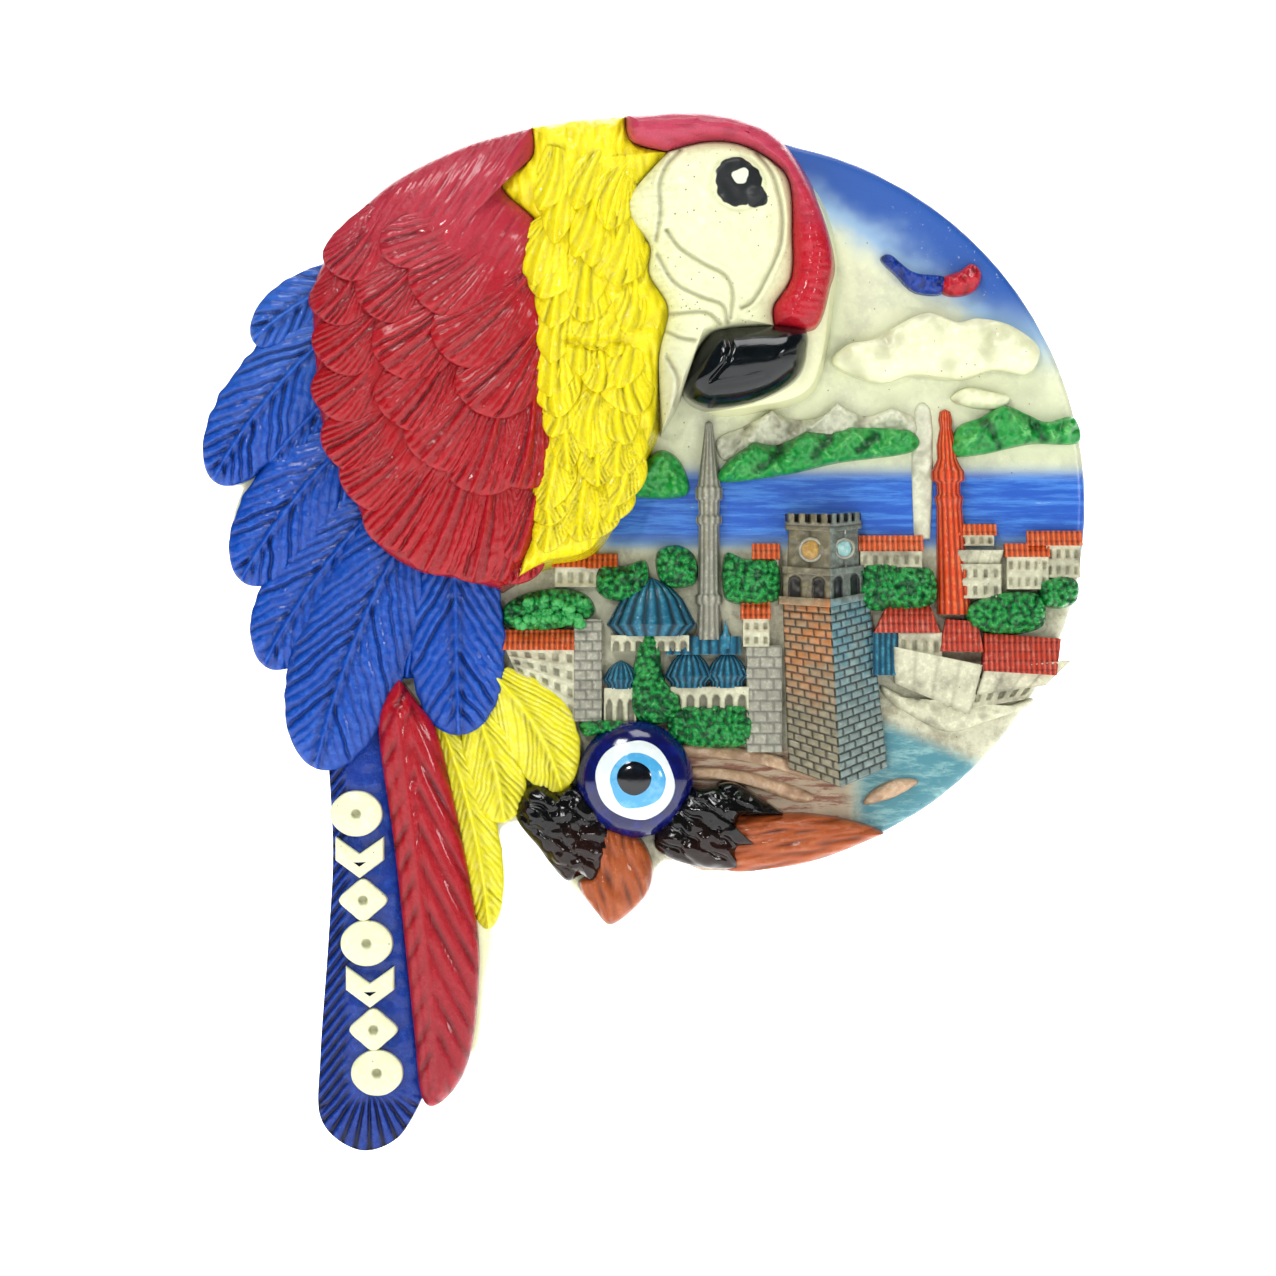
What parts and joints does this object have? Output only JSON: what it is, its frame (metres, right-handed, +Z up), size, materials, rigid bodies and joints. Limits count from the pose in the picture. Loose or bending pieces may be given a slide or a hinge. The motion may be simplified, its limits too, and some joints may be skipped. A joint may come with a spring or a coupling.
{
  "type": "souvenir plate",
  "caption": "Round relief plate with a parrot on its left, its tail and wing beyond the rim, a coastal town in relief, a glass eye bead, and magnets on the back.",
  "frame": {"origin": "centre of the main magnet's outer face, which is also the centre of the round plate, on the plane that the plate is held by", "axes": "+Z up the plate as it hangs, +X to the right as seen from the front, +Y out of the back through the magnets, so the relief faces -Y"},
  "size_m": [0.0767, 0.0129, 0.0902],
  "materials": {
    "cream_resin": "varnished cast resin, cream",
    "red_enamel": "gloss red paint over cast resin",
    "blue_enamel": "gloss blue paint with dark wash over cast resin",
    "yellow_enamel": "gloss yellow paint over cast resin",
    "black_enamel": "high gloss black paint over cast resin",
    "orange_enamel": "gloss orange-brown paint over cast resin",
    "green_enamel": "gloss green paint over cast resin",
    "teal_enamel": "gloss teal paint with dry-brushed ribs over cast resin",
    "stone_wash": "cream resin with brown-grey wash",
    "grey_wash": "cream resin with dark grey wash",
    "snow_paint": "off-white paint over cast resin",
    "roof_enamel": "gloss orange-red paint over cast resin",
    "navy_glass": "opaque navy glass, fire polished",
    "white_glass": "opaque white glass, fire polished",
    "sky_glass": "opaque light blue glass, fire polished",
    "black_glass": "opaque black glass, fire polished",
    "clear_glue": "cured clear adhesive",
    "ferrite": "ground sintered ferrite, dark grey"
  },
  "bodies": {
    "root": {"bead_blue": "sky_glass", "bead_body": "navy_glass", "bead_glue": "clear_glue", "bead_pupil": "black_glass", "bead_white": "white_glass", "beak": "black_enamel", "branch_main": "orange_enamel", "branch_stub": "orange_enamel", "casting": "cream_resin", "clock_head": "stone_wash", "clock_shaft": "stone_wash", "cloud_long": "cream_resin", "crown_stripe": "red_enamel", "cypress": "green_enamel", "dome_main": "teal_enamel", "dome_mid": "teal_enamel", "dome_right": "teal_enamel", "face": "cream_resin", "foot_left": "black_enamel", "foot_right": "black_enamel", "garden": "green_enamel", "grove_coast": "green_enamel", "grove_mid": "green_enamel", "gull": "blue_enamel", "hills_mid": "green_enamel", "hills_right": "green_enamel", "house_left": "stone_wash", "houses_coast": "stone_wash", "houses_red": "roof_enamel", "magnet_glue_lower": "clear_glue", "magnet_glue_main": "clear_glue", "magnet_lower": "ferrite", "magnet_main": "ferrite", "minaret_grey": "grey_wash", "minaret_orange": "orange_enamel", "mosque_hall": "teal_enamel", "neck_feathers": "yellow_enamel", "snow_ridge": "snow_paint", "stone_tower": "grey_wash", "tail_carving_1": "cream_resin", "tail_carving_2": "cream_resin", "tail_carving_3": "cream_resin", "tail_carving_4": "cream_resin", "tail_carving_5": "cream_resin", "tail_carving_6": "cream_resin", "tail_carving_7": "cream_resin", "tail_feather_blue": "blue_enamel", "tail_feather_red": "red_enamel", "tail_feather_yellow_1": "yellow_enamel", "tail_feather_yellow_2": "yellow_enamel", "tail_feather_yellow_3": "yellow_enamel", "terrace": "stone_wash", "wing_coverts": "red_enamel", "wing_feather_1": "blue_enamel", "wing_feather_2": "blue_enamel", "wing_feather_3": "blue_enamel", "wing_feather_4": "blue_enamel", "wing_feather_5": "blue_enamel", "wing_feather_6": "blue_enamel"}
  },
  "joints": []
}
